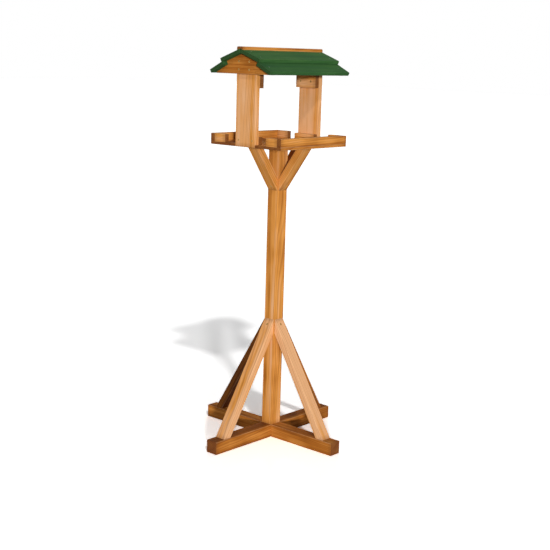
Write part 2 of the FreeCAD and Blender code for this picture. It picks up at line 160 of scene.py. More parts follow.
class StageSettings(bpy.types.PropertyGroup):
    """Camera at the photograph's angle, pale floor and soft light."""

    azimuth: angle_property("Azimuth", "Direction of the camera from the post", -48.128)
    distance: length_property("Distance", "Level distance from the post to the camera", 4.1242)
    height: length_property("Height", "Height of the camera", 1.4359)
    pitch: angle_property("Pitch", "How far the camera looks down", 11.132)
    roll: angle_property("Roll", "Clockwise turn of the picture", 1.63)
    lens: number_property("Lens", "Focal length on a 36 mm frame", 73.31)
    floor: colour_property("Floor", "Colour of the floor", "B8B8B6")
    floor_gain: number_property("Floor gain", "How much brighter the camera sees the floor", 2.6)
    front_strength: number_property("Front light", "Strength of the light beside the camera", 2.8)
    top_strength: number_property("Top light", "Strength of the light that casts the shadow", 0.85)
    back_strength: number_property("Back light", "Strength of the light behind the table", 1.4)
    fill_strength: number_property("Fill", "Strength of the sky at the horizon", 0.25)
    fill_fall: share_property("Fill fall", "Share of the sky's strength lost overhead", 0.65)


def settings():
    return bpy.context.scene.bird_table


def cad_points(node):
    """Places of a frame node's vertices."""
    return [vertex.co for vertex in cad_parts[node].data.vertices]


def reach(node, direction):
    """Lowest and highest place of a frame node along a direction."""
    places = [point.dot(direction) for point in cad_points(node)]
    return min(places), max(places)


def broad_normal(node, towards):
    """Normal of a frame node's largest flat face, on the side that a direction points to."""
    areas = {}
    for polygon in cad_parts[node].data.polygons:
        key = tuple(round(abs(share), 3) for share in polygon.normal)
        area, normal = areas.get(key, (0, polygon.normal.copy()))
        areas[key] = (area + polygon.area, normal)
    normal = max(areas.values(), key=lambda entry: entry[0])[1]
    return normal if normal.dot(towards) > 0 else -normal


def add_node(tree, kind, inputs=(), output=0, **details):
    """Add a node and give back one of its outputs. Details are its own settings. Each input, in
    order or by name, is a constant or another node's output, and None leaves it as it is."""
    node = tree.nodes.new(kind)
    for name, value in details.items():
        setattr(node, name, value)
    for socket, value in (inputs.items() if isinstance(inputs, dict) else enumerate(inputs)):
        if isinstance(value, bpy.types.NodeSocket):
            tree.links.new(value, node.inputs[socket])
        elif value is not None:
            node.inputs[socket].default_value = value
    return node.outputs[output] if node.outputs else None


def calculate(tree, operation, *inputs):
    """Add a math node and give back its result."""
    return add_node(tree, "ShaderNodeMath", inputs, operation=operation)


def ramp(tree, *inputs):
    """Add a smooth ramp: its value, where it starts and ends, and the results there."""
    return add_node(tree, "ShaderNodeMapRange", inputs, interpolation_type="SMOOTHSTEP")


def settle(piece):
    """Turn a piece and its modifiers into a plain mesh."""
    graph = bpy.context.evaluated_depsgraph_get()
    mesh = bpy.data.meshes.new_from_object(
        piece.evaluated_get(graph), preserve_all_data_layers=True, depsgraph=graph)
    piece.modifiers.clear()
    piece.data = mesh
    mesh.name = piece.name
    return mesh


def new_object(name, build):
    """Object at the origin whose mesh a function fills in."""
    mesh = bpy.data.meshes.new(name)
    work = bmesh.new()
    build(work)
    bmesh.ops.recalc_face_normals(work, faces=work.faces)
    work.to_mesh(mesh)
    work.free()
    piece = bpy.data.objects.new(name, mesh)
    bpy.context.scene.collection.objects.link(piece)
    return piece


def prism(work, corners, through):
    """Closed prism from an outline and the way through to its other face."""
    near = [work.verts.new(corner) for corner in corners]
    far = [work.verts.new(corner + through) for corner in corners]
    work.faces.new(near)
    work.faces.new(list(reversed(far)))
    for index in range(len(corners)):
        following = (index + 1) % len(corners)
        work.faces.new((near[index], near[following], far[following], far[index]))


def write_grain(mesh, grain, lot, tone):
    """Store where each point lies in its timber, for the wood's figure to follow."""
    stands = abs(grain.z) > 0.9
    across = (grain.orthogonal() if stands else grain.cross(Z)).normalized()
    axes = (grain, across, grain.cross(across).normalized())
    places = [[vertex.co.dot(axis) for axis in axes] for vertex in mesh.vertices]
    low = [min(shares) for shares in zip(*places)]
    high = [max(shares) for shares in zip(*places)]
    layers = {
        "timber_place": [share - least for place in places for share, least in zip(place, low)],
        "timber_size": [most - least for most, least in zip(high, low)] * len(places),
        "timber_lot": list(lot) * len(places),
    }
    for name, values in layers.items():
        mesh.attributes.new(name, "FLOAT_VECTOR", "POINT").data.foreach_set("vector", values)
    ends = [abs(polygon.normal.dot(grain)) for polygon in mesh.polygons]
    mesh.attributes.new("end_grain", "FLOAT", "FACE").data.foreach_set("value", ends)
    mesh.attributes.new("tone", "FLOAT", "POINT").data.foreach_set("value", [tone] * len(places))


def timber(node, corners, through, grain, kind, green=False, arris=None):
    """Dress a frame node as one piece of timber with rounded arrises and its bores cut. Its kind
    is its entry in the table of tones."""
    values = settings().timber
    piece = new_object(f"{node}_timber", lambda work: prism(work, corners, through))
    draw = random.Random(node)
    bevel = piece.modifiers.new("arris", "BEVEL")
    bevel.width = (arris or values.arris) * draw.uniform(1 - ARRIS_SPREAD, 1 + ARRIS_SPREAD)
    bevel.segments = 3
    bevel.limit_method = "ANGLE"
    bores = piece.modifiers.new("bores", "BOOLEAN")
    bores.operation = "DIFFERENCE"
    bores.solver = "EXACT"
    bores.object = bpy.data.objects["bores"]
    mesh = settle(piece)
    mesh.shade_smooth()
    mesh.set_sharp_from_angle(angle=TIMBER_CREASE)
    weights = piece.modifiers.new("flat faces", "WEIGHTED_NORMAL")
    weights.keep_sharp = True
    mesh = settle(piece)
    # Where in its trunk the timber was sawn: metres along it, and the pith's place beside it
    lot = (draw.uniform(0, 3), draw.uniform(-0.05, 0.02), draw.uniform(-0.09, -0.03))
    write_grain(mesh, grain, lot, TONES[kind] + draw.uniform(-TONE_SPREAD, TONE_SPREAD))
    mesh.materials.clear()
    mesh.materials.append(green_softwood() if green else brown_softwood())
    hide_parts(node)
    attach(piece, "root")


def box_corners(node, first, second, third):
    """Outline of a square-cut node in two directions, and the way through it in the third."""
    (a_low, a_high), (b_low, b_high), (c_low, c_high) = (
        reach(node, axis) for axis in (first, second, third))
    corners = [first * a + second * b + third * c_low
               for a, b in ((a_low, b_low), (a_high, b_low), (a_high, b_high), (a_low, b_high))]
    return corners, third * (c_high - c_low)


def section_corners(node, outline):
    """Corners of an outline in Y and Z at a node's left end, and the way to its right end."""
    start, end = reach(node, X)
    return [Vector((start, y, z)) for y, z in outline], X * (end - start)


def figure_group():
    """Growth rings, knots, fibres and stained ends of sawn softwood, from the timber's place."""
    name = "Softwood figure"
    if name in bpy.data.node_groups:
        return bpy.data.node_groups[name]
    values = settings().timber
    tree = bpy.data.node_groups.new(name, "ShaderNodeTree")
    vectors, split = "ShaderNodeVectorMath", "ShaderNodeSeparateXYZ"
    place, size, lot = (
        add_node(tree, "ShaderNodeAttribute", attribute_name=attribute, output="Vector")
        for attribute in ("timber_place", "timber_size", "timber_lot"))
    sawn, tone = (add_node(tree, "ShaderNodeAttribute", attribute_name=attribute, output="Fac")
                  for attribute in ("end_grain", "tone"))

    # Uneven fields, each with its cycles per metre along, across and through the timber, its
    # detail, and a shift that keeps it apart from the others. Real fibres are a tenth of a
    # millimetre wide: they are drawn 3 mm wide so that they show
    fields = {}
    for field, cycles, detail, shift in (
            ("Wander", (3.5, 9, 9), 2, 31), ("Rub", (25, 200, 200), 2, 101),
            ("Fibre", (6, 330, 330), 3, 13), ("Streak", (1.6, 48, 48), 2, 57),
            ("Blotch", (7, 11, 11), 2, 83)):
        away = add_node(tree, vectors, (lot, (shift,) * 3), operation="MULTIPLY")
        spot = add_node(tree, vectors, (place, cycles, away), operation="MULTIPLY_ADD")
        fields[field] = add_node(tree, "ShaderNodeTexNoise",
                                 {"Vector": spot, "Scale": 1, "Detail": detail}).node.outputs

    # The pith wanders beside the timber at a small slant, so flat-sawn faces show arched rings
    swing, side_slant, face_slant = 0.011, 0.035, 0.02
    wander = add_node(tree, vectors, (fields["Wander"]["Color"], (0, 2 * swing, 2 * swing),
                                      (0, -swing, -swing)), operation="MULTIPLY_ADD")
    bent = add_node(tree, vectors, (place, wander), operation="ADD")
    bent = add_node(tree, vectors, (bent, lot), operation="SUBTRACT")
    bent = add_node(tree, split, (bent,)).node.outputs
    along = add_node(tree, split, (place,))
    across = calculate(tree, "MULTIPLY_ADD", along, side_slant, bent["Y"])
    depth = calculate(tree, "MULTIPLY_ADD", along, face_slant, bent["Z"])
    flat = add_node(tree, "ShaderNodeCombineXYZ", (across, depth))
    radius = add_node(tree, vectors, (flat,), output="Value", operation="LENGTH")

    # Knots leave the pith as branches do, spaced along it and around it. A third of the places
    # have none, and the largest is 19 mm across. Each fades out at its rim
    trunk_radius, least_chance, largest_radius = 0.07, 0.35, 0.0095
    fade_start, fade_end = 0.65, 1.15
    angle = calculate(tree, "ARCTAN2", across, depth)
    angle = calculate(tree, "MULTIPLY", angle, trunk_radius)
    start = add_node(tree, split, (lot,))
    start = calculate(tree, "ADD", along, start)
    branch = add_node(tree, "ShaderNodeCombineXYZ", (start, angle))
    cells = add_node(tree, "ShaderNodeTexVoronoi",
                     {"Vector": branch, "Scale": 1 / values.knot_spacing},
                     voronoi_dimensions="2D").node.outputs
    gap = calculate(tree, "MULTIPLY", cells["Distance"], values.knot_spacing)
    chance = add_node(tree, "ShaderNodeSeparateColor", (cells["Color"],))
    knot_radius = ramp(tree, chance, least_chance, 1, 0, largest_radius)
    wide = calculate(tree, "ADD", knot_radius, TINY)
    rim = calculate(tree, "DIVIDE", gap, wide)
    knot = ramp(tree, rim, fade_start, fade_end, 1, 0)

    # The rings bend round a knot, less and less with the square of the distance
    bend_loss = 0.35
    swirl = calculate(tree, "POWER", rim, 2)
    swirl = calculate(tree, "MULTIPLY", swirl, -bend_loss)
    swirl = calculate(tree, "EXPONENT", swirl)

    # Growth rings, each with a slow pale rise and a sharp dark edge, some stronger than others
    rise_start, rise_end, faintest = 0.35, 0.95, 0.3
    phase = calculate(tree, "MULTIPLY_ADD", swirl, knot_radius, radius)
    phase = calculate(tree, "DIVIDE", phase, values.ring_pitch)
    ring = calculate(tree, "FRACT", phase)
    ring = ramp(tree, ring, rise_start, rise_end)
    year = calculate(tree, "FLOOR", phase)
    strength = add_node(tree, "ShaderNodeTexWhiteNoise", {"W": year}, noise_dimensions="1D")
    strength = calculate(tree, "MULTIPLY_ADD", strength, 1 - faintest, faintest)
    ring = calculate(tree, "MULTIPLY", ring, strength)

    # Stain rubs off the few millimetres next to a long arris, unevenly, and soaks into the last
    # two centimetres before a sawn end
    uneven, rubbed_bare, rubbed_least = 0.005, 0.002, 0.0055
    soak_length, soak_share, end_start, end_full = 0.02, 0.4, 0.3, 0.9
    inset = add_node(tree, vectors, (size, place), operation="SUBTRACT")
    inset = add_node(tree, vectors, (place, inset), operation="MINIMUM")
    inset = add_node(tree, split, (inset,)).node.outputs
    corner = calculate(tree, "MAXIMUM", inset["Y"], inset["Z"])
    corner = calculate(tree, "MULTIPLY_ADD", fields["Rub"]["Fac"], uneven, corner)
    edge = ramp(tree, corner, rubbed_bare, rubbed_least, 1, 0)
    soaked = ramp(tree, inset["X"], 0, soak_length, soak_share, 0)
    end = ramp(tree, sawn, end_start, end_full)
    end = calculate(tree, "MAXIMUM", end, soaked)

    results = {"Ring": ring, "Knot": knot, "Edge": edge, "End": end, "Tone": tone}
    results.update({field: fields[field]["Fac"] for field in ("Fibre", "Streak", "Blotch")})
    for output in results:
        tree.interface.new_socket(output, in_out="OUTPUT", socket_type="NodeSocketFloat")
    add_node(tree, "NodeGroupOutput", results)
    return tree


def new_material(name):
    """Empty material with its own node tree and output."""
    material = bpy.data.materials.new(name)
    material.use_nodes = True
    tree = material.node_tree
    tree.nodes.clear()
    return material, tree


def seen_plainly(tree):
    """Value that is 1 for a ray from the camera, a reflection or clear material, and 0 for light
    that bounces off a matt one."""
    path = add_node(tree, "ShaderNodeLightPath").node.outputs
    seen = path["Is Camera Ray"]
    for ray in ("Is Glossy Ray", "Is Transmission Ray"):
        seen = calculate(tree, "MAXIMUM", seen, path[ray])
    return seen


def stained_softwood(name, stains, late, knot, end, rubbed, least_roughness):
    """Planed pine or spruce under a thin stain: the rings show through, knots stay dark, sawn
    ends drink more stain, arrises are rubbed pale, and the surface is satin and finely ribbed."""
    if name in bpy.data.materials:
        return bpy.data.materials[name]
    material, tree = new_material(name)
    figure = add_node(tree, "ShaderNodeGroup", node_tree=figure_group()).node.outputs

    # Streaks and blotches are lighter and darker than the timber's own tone
    streaks, blotches = 1.1, 0.7
    share = calculate(tree, "MULTIPLY_ADD", figure["Streak"], streaks, figure["Tone"])
    share = calculate(tree, "MULTIPLY_ADD", figure["Blotch"], blotches, share)
    share = calculate(tree, "SUBTRACT", share, (streaks + blotches) / 2)
    colour = add_node(tree, "ShaderNodeValToRGB", (share,))
    steps = colour.node.color_ramp.elements
    for number, stain in enumerate(stains):
        place = number / (len(stains) - 1)
        step = steps[0] if number == 0 else steps[-1] if place == 1 else steps.new(place)
        step.color = (*stain, 1)

    # Layers over the stain: late wood and fibres darken it, and the others cover it
    for part, over, strength, blend in (
            ("End", end, 0.85, "MIX"), ("Ring", late, 0.48, "MULTIPLY"),
            ("Fibre", late, 0.18, "MULTIPLY"), ("Knot", knot, 0.8, "MIX"),
            ("Edge", rubbed, 0.26, "MIX")):
        layer = calculate(tree, "MULTIPLY", figure[part], strength)
        colour = add_node(tree, "ShaderNodeMix", {0: layer, 6: colour, 7: (*over, 1)}, output=2,
                          data_type="RGBA", blend_type=blend)

    # Fibres and late wood stand up by less than a millimetre, and fibres dull the satin
    ring_relief, rib_strength, rib_height, dulling = 0.6, 0.35, 0.0006, 0.22
    relief = calculate(tree, "MULTIPLY_ADD", figure["Ring"], ring_relief, figure["Fibre"])
    bump = add_node(tree, "ShaderNodeBump", {"Strength": rib_strength, "Distance": rib_height,
                                             "Height": relief})
    sheen = calculate(tree, "MULTIPLY_ADD", figure["Fibre"], dulling, least_roughness)
    shader = add_node(tree, "ShaderNodeBsdfPrincipled", {
        "Base Color": colour, "Roughness": sheen, "Normal": bump, "IOR": 1.45,
        "Specular IOR Level": 0.2})
    add_node(tree, "ShaderNodeOutputMaterial", (shader,))
    return material


def brown_softwood():
    values = settings().timber
    stains = (values.pale_stain, values.golden_stain, values.deep_stain, values.dark_stain)
    return stained_softwood("Golden-brown stained pine", stains, values.late_wood, values.knot,
                            values.end_grain, values.rubbed, 0.68)


def green_softwood():
    values = settings().roof
    stains = (values.green_thin, values.green_stain, values.green_deep)
    return stained_softwood("Green stained pine", stains, values.green_late, values.green_end,
                            values.green_end, values.green_thin, 0.75)


def plated_steel(name, colour, least_roughness):
    """Zinc-plated steel: a satin metal, mottled a little by its passivated coat."""
    material, tree = new_material(name)

    # The coat's flecks are 1.1 mm across, so 900 to the metre, and next to flat
    flecks, dulling, fleck_strength, fleck_height = 900, 0.25, 0.2, 0.00005
    place = add_node(tree, "ShaderNodeTexCoord", output="Object")
    mottle = add_node(tree, "ShaderNodeTexNoise", {"Vector": place, "Scale": flecks, "Detail": 2})
    rough = calculate(tree, "MULTIPLY_ADD", mottle, dulling, least_roughness)
    bump = add_node(tree, "ShaderNodeBump", {
        "Strength": fleck_strength, "Distance": fleck_height, "Height": mottle})
    shader = add_node(tree, "ShaderNodeBsdfPrincipled", {
        "Base Color": (*colour, 1), "Metallic": 1, "Roughness": rough, "Normal": bump})
    add_node(tree, "ShaderNodeOutputMaterial", (shader,))
    return material


def plain_profile(rings):
    """Rim of the head, both ends of the straight shank, and tip of a plain fastener, each a depth
    under the head and a radius."""
    nearly_full = 0.99 * max(radius for _, radius in rings)
    rim = max(ring for ring in rings if ring[1] > nearly_full)
    neck, point = max(zip(rings, rings[1:]), key=lambda pair: pair[1][0] - pair[0][0])
    return rim, neck, point, (rings[-1][0], 0)


def fastener_spots(node):
    """Head, outward axis and profile of each fastener in a frame node."""
    work = bmesh.new()
    work.from_mesh(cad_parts[node].data)
    bmesh.ops.remove_doubles(work, verts=work.verts, dist=TINY)
    spots = []

    # A dict keeps the vertices in order, so that every run adds them up alike
    unseen = dict.fromkeys(work.verts)
    while unseen:
        island, edge = [], [unseen.popitem()[0]]
        while edge:
            vertex = edge.pop()
            island.append(vertex)
            for link in vertex.link_edges:
                other = link.other_vert(vertex)
                if other in unseen:
                    del unseen[other]
                    edge.append(other)
        points = [vertex.co.copy() for vertex in island]
        middle = sum(points, Vector()) / len(points)
        tip = max(points, key=lambda point: (point - middle).length)
        axis = (middle - tip).normalized()
        length = max((point - tip).dot(axis) for point in points)
        head = tip + axis * length
        rings = {(round((head - point).dot(axis), 5), round((point - head).cross(axis).length, 5))
                 for point in points}
        spots.append((head, axis, plain_profile(sorted(rings))))
    work.free()
    return sorted(spots, key=lambda spot: tuple(spot[0]))


def lathe(work, rings):
    """Closed surface of revolution about Z from rings of depth and radius, which may be a
    function of the turn."""
    rows = []
    for depth, radius in rings:
        if radius == 0:
            rows.append([work.verts.new((0, 0, -depth))])
            continue
        row = []
        for step in range(ROUND_STEPS):
            turn = 2 * math.pi * step / ROUND_STEPS
            out = radius(turn) if callable(radius) else radius
            row.append(work.verts.new((out * math.cos(turn), out * math.sin(turn), -depth)))
        rows.append(row)
    for upper, lower in zip(rows, rows[1:]):
        for step in range(ROUND_STEPS):
            following = (step + 1) % ROUND_STEPS
            ring = [upper[step % len(upper)], upper[following % len(upper)],
                    lower[following % len(lower)], lower[step % len(lower)]]
            work.faces.new(list(dict.fromkeys(ring)))


def spots_tree():
    """Node tree that sets a fastener on each spot, square to its face and turned at random."""
    name = "Fasteners on spots"
    if name in bpy.data.node_groups:
        return bpy.data.node_groups[name]
    tree = bpy.data.node_groups.new(name, "GeometryNodeTree")
    for label, kind in (("Spots", "NodeSocketGeometry"), ("Fastener", "NodeSocketObject"),
                        ("Turn seed", "NodeSocketInt"), ("Finish", "NodeSocketMaterial")):
        tree.interface.new_socket(label, in_out="INPUT", socket_type=kind)
    tree.interface.new_socket("Fasteners", in_out="OUTPUT", socket_type="NodeSocketGeometry")
    given = add_node(tree, "NodeGroupInput").node.outputs
    axis = add_node(tree, "GeometryNodeInputNamedAttribute", {"Name": "axis"},
                    data_type="FLOAT_VECTOR")
    upright = add_node(tree, "FunctionNodeAlignRotationToVector", {"Vector": axis}, axis="Z")
    turn = add_node(tree, "FunctionNodeRandomValue", {"Seed": given["Turn seed"]}, output=1)
    turn = calculate(tree, "MULTIPLY", turn, 2 * math.pi)
    spin = add_node(tree, "FunctionNodeAxisAngleToRotation", {"Axis": (0, 0, 1), "Angle": turn})
    turned = add_node(tree, "FunctionNodeRotateRotation",
                      {"Rotation": upright, "Rotate By": spin}, rotation_space="LOCAL")
    pattern = add_node(tree, "GeometryNodeObjectInfo",
                       {"Object": given["Fastener"], "As Instance": True}, output="Geometry")
    copies = add_node(tree, "GeometryNodeInstanceOnPoints",
                      {"Points": given["Spots"], "Instance": pattern, "Rotation": turned})
    real = add_node(tree, "GeometryNodeRealizeInstances", (copies,))
    finished = add_node(tree, "GeometryNodeSetMaterial",
                        {"Geometry": real, "Material": given["Finish"]})
    add_node(tree, "NodeGroupOutput", (finished,))
    return tree


def set_on_spots(name, spots, pattern, material):
    """Mesh of a pattern set on every spot."""
    piece = new_object(name, lambda work: [work.verts.new(head) for head, _, _ in spots])
    axes = [share for _, axis, _ in spots for share in axis]
    piece.data.attributes.new("axis", "FLOAT_VECTOR", "POINT").data.foreach_set("vector", axes)
    tree = spots_tree()
    nodes = piece.modifiers.new("spots", "NODES")
    nodes.node_group = tree
    given = {"Fastener": pattern, "Turn seed": settings().fasteners.turn_seed, "Finish": material}
    for item in tree.interface.items_tree:
        if item.name in given:
            nodes[item.identifier] = given[item.name]
    settle(piece)
    return piece


def bore_pattern(spot, node):
    """Bore that takes a fastener, open past the face that its head lies in."""
    values = settings().fasteners
    gap = values.bore_gap
    head, _, profile = spot
    sink = head.z if node == "lower_brace_foot_screws" else 0
    mouth = -(sink + values.bore_mouth)
    *grown, tip = [(depth + gap, radius + gap) for depth, radius in profile]
    outline = [(mouth, 0), (mouth, grown[0][1]), *grown, (tip[0], 0)]
    return new_object(f"{node}_bore", lambda work: lathe(work, outline))


def screw_pattern(spot, name):
    """Countersunk wood screw with a cross recess and a cut thread."""
    values = settings().fasteners
    rings_per_turn, crest_sharpness, smooth_rings = 6, 1.5, 2
    rim, neck, point, tip = spot[2]
    head_radius, shank_radius = rim[1], neck[1]
    core = shank_radius * (1 - values.thread_depth)
    step = values.thread_pitch / rings_per_turn

    def thread(depth):
        def radius(turn):
            crest = 0.5 + 0.5 * math.cos(2 * math.pi * depth / values.thread_pitch - turn)
            taper = min(1.0, (tip[0] - depth) / (tip[0] - point[0]))
            return (core + (shank_radius - core) * crest ** crest_sharpness) * taper
        return radius

    edge = head_radius * 0.03
    head = [(0, 0), (0, head_radius - edge), (edge, head_radius), rim, neck]
    numbers = range(smooth_rings, int((tip[0] - neck[0]) / step))
    depths = [neck[0] + step * number for number in numbers]
    shank = [(depth, thread(depth)) for depth in depths]
    piece = new_object(name, lambda work: lathe(work, [*head, *shank, tip]))

    def cross(work):
        blade_share, above_share, narrowing = 0.28, 0.2, 0.35
        span = head_radius * values.recess_span
        blade = span * blade_share
        depth = head_radius * values.recess_depth
        outline = [(blade, span), (-blade, span), (-blade, blade), (-span, blade),
                   (-span, -blade), (-blade, -blade), (-blade, -span), (blade, -span),
                   (blade, -blade), (span, -blade), (span, blade), (blade, blade)]
        top = [work.verts.new((x, y, depth * above_share)) for x, y in outline]
        bottom = [work.verts.new((x * narrowing, y * narrowing, -depth)) for x, y in outline]
        work.faces.new(top)
        work.faces.new(list(reversed(bottom)))
        for index in range(len(outline)):
            following = (index + 1) % len(outline)
            work.faces.new((top[index], bottom[index], bottom[following], top[following]))

    cutter = new_object(f"{name}_recess", cross)
    recess = piece.modifiers.new("recess", "BOOLEAN")
    recess.operation = "DIFFERENCE"
    recess.solver = "EXACT"
    recess.object = cutter
    mesh = settle(piece)
    mesh.shade_smooth()
    mesh.set_sharp_from_angle(angle=STEEL_CREASE)
    bpy.data.objects.remove(cutter)
    return piece


def nail_pattern(spot, name):
    """Flat-headed nail with a shallow dished head and a plain shank."""
    head_radius = spot[2][0][1]
    # Depth and radius of the dish's middle, floor, lip and edge, as shares of the head's radius
    dish = ((0.06, 0), (0.02, 0.6), (0, 0.9), (0.08, 1))
    top = [(depth * head_radius, radius * head_radius) for depth, radius in dish]
    piece = new_object(name, lambda work: lathe(work, [*top, *spot[2]]))
    piece.data.shade_smooth()
    piece.data.set_sharp_from_angle(angle=STEEL_CREASE)
    return piece


def dress_fasteners(nodes, make_pattern, material):
    """Detailed fasteners in place of the frame's plain ones."""
    for node in nodes:
        spots = fastener_spots(node)
        pattern = make_pattern(spots[0], f"{node}_pattern")
        piece = set_on_spots(f"{node}_steel", spots, pattern, material)
        bpy.data.objects.remove(pattern)
        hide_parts(node)
        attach(piece, "root")


class BIRD_TABLE_OT_bores(bpy.types.Operator):
    """Gather the bores of all screws and nails, to be cut from the timber"""

    bl_idname = "bird_table.bores"
    bl_label = "Bores"

    def execute(self, context):
        joined = bmesh.new()
        for node in SCREW_NODES + NAIL_NODES:
            spots = fastener_spots(node)
            pattern = bore_pattern(spots[0], node)
            group = set_on_spots(f"{node}_bores", spots, pattern, None)
            joined.from_mesh(group.data)
            bpy.data.objects.remove(pattern)
            bpy.data.objects.remove(group)
        mesh = bpy.data.meshes.new("bores")
        joined.to_mesh(mesh)
        joined.free()
        bores = bpy.data.objects.new("bores", mesh)
        context.scene.collection.objects.link(bores)
        bores.hide_render = True
        return {"FINISHED"}


class BIRD_TABLE_OT_foot_bars(bpy.types.Operator):
    """Two bars halved into each other on the ground"""

    bl_idname = "bird_table.foot_bars"
    bl_label = "Foot bars"

    def execute(self, context):
        gap = settings().timber.fit_gap
        for node, run, other in (("foot_bar_x", X, "foot_bar_y"),
                                 ("foot_bar_y", Y, "foot_bar_x")):
            side = Z.cross(run)
            low, high = reach(node, run)
            bottom, top = reach(node, Z)
            near, far = reach(other, run)
            near -= gap
            far += gap
            half = (bottom + top) / 2
            lap = [(far, half), (near, half)]
            if node == "foot_bar_x":
                outline = [(low, bottom), (high, bottom), (high, top), (far, top), *lap,
                           (near, top), (low, top)]
            else:
                outline = [(low, bottom), (near, bottom), *reversed(lap), (far, bottom),
                           (high, bottom), (high, top), (low, top)]
            start, end = reach(node, side)
            corners = [run * a + Z * b + side * start for a, b in outline]
            timber(node, corners, side * (end - start), run, node)
        return {"FINISHED"}


class BIRD_TABLE_OT_post(bpy.types.Operator):
    """Square post that carries the table"""

    bl_idname = "bird_table.post"
    bl_label = "Post"

    def execute(self, context):
        timber("post", *box_corners("post", X, Y, Z), Z, "post")
        return {"FINISHED"}


class BIRD_TABLE_OT_braces(bpy.types.Operator):
    """Four long braces on the foot bars and four short ones under the tray"""

    bl_idname = "bird_table.braces"
    bl_label = "Braces"

    def execute(self, context):
        near_sides = ("left", "front")
        for level, rise in (("lower", Z), ("upper", -Z)):
            for side, outward in OUTWARD.items():
                node = f"{level}_brace_{side}"
                normal = broad_normal(node, outward + rise)
                inner, outer = reach(node, normal)
                post_face = reach(node, outward)[0]
                rest = reach(node, -rise)[1] * -rise.z
                tilt, lift = normal.dot(outward), normal.z
                outline = [
                    ((outer - lift * rest) / tilt, rest),
                    (post_face, (outer - tilt * post_face) / lift),
                    (post_face, (inner - tilt * post_face) / lift),
                    ((inner - lift * rest) / tilt, rest)]
                width = Z.cross(outward)
                start, end = reach(node, width)
                corners = [outward * a + Z * b + width * start for a, b in outline]
                grain = (corners[1] - corners[0]).normalized()
                kind = "upper_brace"
                # Lower braces on the camera's sides take a pale stain with painted light, the others
                # a deep stain with painted shade; both are partly a real difference of stain
                if level == "lower":
                    kind = "near_lower_brace" if side in near_sides else "far_lower_brace"
                timber(node, corners, width * (end - start), grain, kind)
        return {"FINISHED"}


class BIRD_TABLE_OT_tray_floor(bpy.types.Operator):
    """Floor of the tray, notched round the uprights"""

    bl_idname = "bird_table.tray_floor"
    bl_label = "Tray floor"

    def execute(self, context):
        low_x, high_x = reach("tray_floor", X)
        low_y, high_y = reach("tray_floor", Y)
        low_z, high_z = reach("tray_floor", Z)
        gap = settings().timber.fit_gap
        notch_x = reach("upright_right", X)[0] - gap
        notch_y = reach("upright_right", Y)[1] + gap
        right = [(high_x, -notch_y), (notch_x, -notch_y), (notch_x, notch_y), (high_x, notch_y)]
        left = [(-x, -y) for x, y in right]
        outline = [(low_x, low_y), (high_x, low_y), *right,
                   (high_x, high_y), (low_x, high_y), *left]
        corners = [Vector((x, y, low_z)) for x, y in outline]
        timber("tray_floor", corners, Z * (high_z - low_z), X, "tray_floor")
        return {"FINISHED"}


class BIRD_TABLE_OT_tray_rails(bpy.types.Operator):
    """Two long rails and four short end rails round the tray"""

    bl_idname = "bird_table.tray_rails"
    bl_label = "Tray rails"

    def execute(self, context):
        for face in FACES:
            node = f"tray_rail_{face}"
            timber(node, *box_corners(node, Z, Y, X), X, "tray_rail")
            for side in SIDES:
                node = f"end_rail_{side}_{face}"
                timber(node, *box_corners(node, Z, X, Y), Y, "end_rail")
        return {"FINISHED"}


def roof_board_section(level, face):
    """Corners of a roof board's section: inner lower, outer lower, outer upper, inner upper."""
    node = f"roof_board_{level}_{face}"
    outward = FACES[face]
    normal = broad_normal(node, Z)
    slope = X.cross(normal).normalized()
    if slope.dot(outward) < 0:
        slope = -slope
    inner, outer = reach(node, slope)
    under, over = reach(node, normal)
    return [slope * a + normal * b for a, b in
            ((inner, under), (outer, under), (outer, over), (inner, over))]


def height_on(first, second, y):
    """Height at a distance from the ridge line, on the line through two points."""
    share = (y - first.y) / (second.y - first.y)
    return first.z + share * (second.z - first.z)


def under_roof(level, y):
    """Height of the underside of a level's roof boards, at a distance from the ridge line."""
    inner, outer = roof_board_section(level, "back")[:2]
    return height_on(inner, outer, y)


class BIRD_TABLE_OT_uprights(bpy.types.Operator):
    """Two wide uprights, cut to a point under the roof"""

    bl_idname = "bird_table.uprights"
    bl_label = "Uprights"

    def execute(self, context):
        for side in SIDES:
            node = f"upright_{side}"
            half = reach(node, Y)[1]
            bottom = reach(node, Z)[0]
            shoulder = under_roof("upper", half)
            outline = [(-half, bottom), (half, bottom), (half, shoulder),
                       (0, under_roof("upper", 0)), (-half, shoulder)]
            timber(node, *section_corners(node, outline), Z, "upright")
        return {"FINISHED"}


class BIRD_TABLE_OT_battens(bpy.types.Operator):
    """Battens at the bottom and at the top of the uprights' inner faces"""

    bl_idname = "bird_table.battens"
    bl_label = "Battens"

    def execute(self, context):
        for batten in ("foot_batten", "head_batten"):
            for side in SIDES:
                node = f"{batten}_{side}"
                timber(node, *box_corners(node, Z, X, Y), Y, batten)
        return {"FINISHED"}


class BIRD_TABLE_OT_gable_boards(bpy.types.Operator):
    """Gable boards on the uprights' outer faces, cut to the slopes of the roof"""

    bl_idname = "bird_table.gable_boards"
    bl_label = "Gable boards"

    def execute(self, context):
        lower = roof_board_section("lower", "back")
        for side in SIDES:
            node = f"gable_board_{side}"
            half = reach(node, Y)[1]
            bottom = reach(node, Z)[0]
            slope = [(half, under_roof("lower", half)), lower[0].yz, lower[3].yz]
            outline = [(-half, bottom), (half, bottom), *slope, (0, under_roof("upper", 0)),
                       *[(-y, z) for y, z in reversed(slope)]]
            timber(node, *section_corners(node, outline), Y, "gable_board",
                   arris=settings().timber.arris / 2)
        return {"FINISHED"}


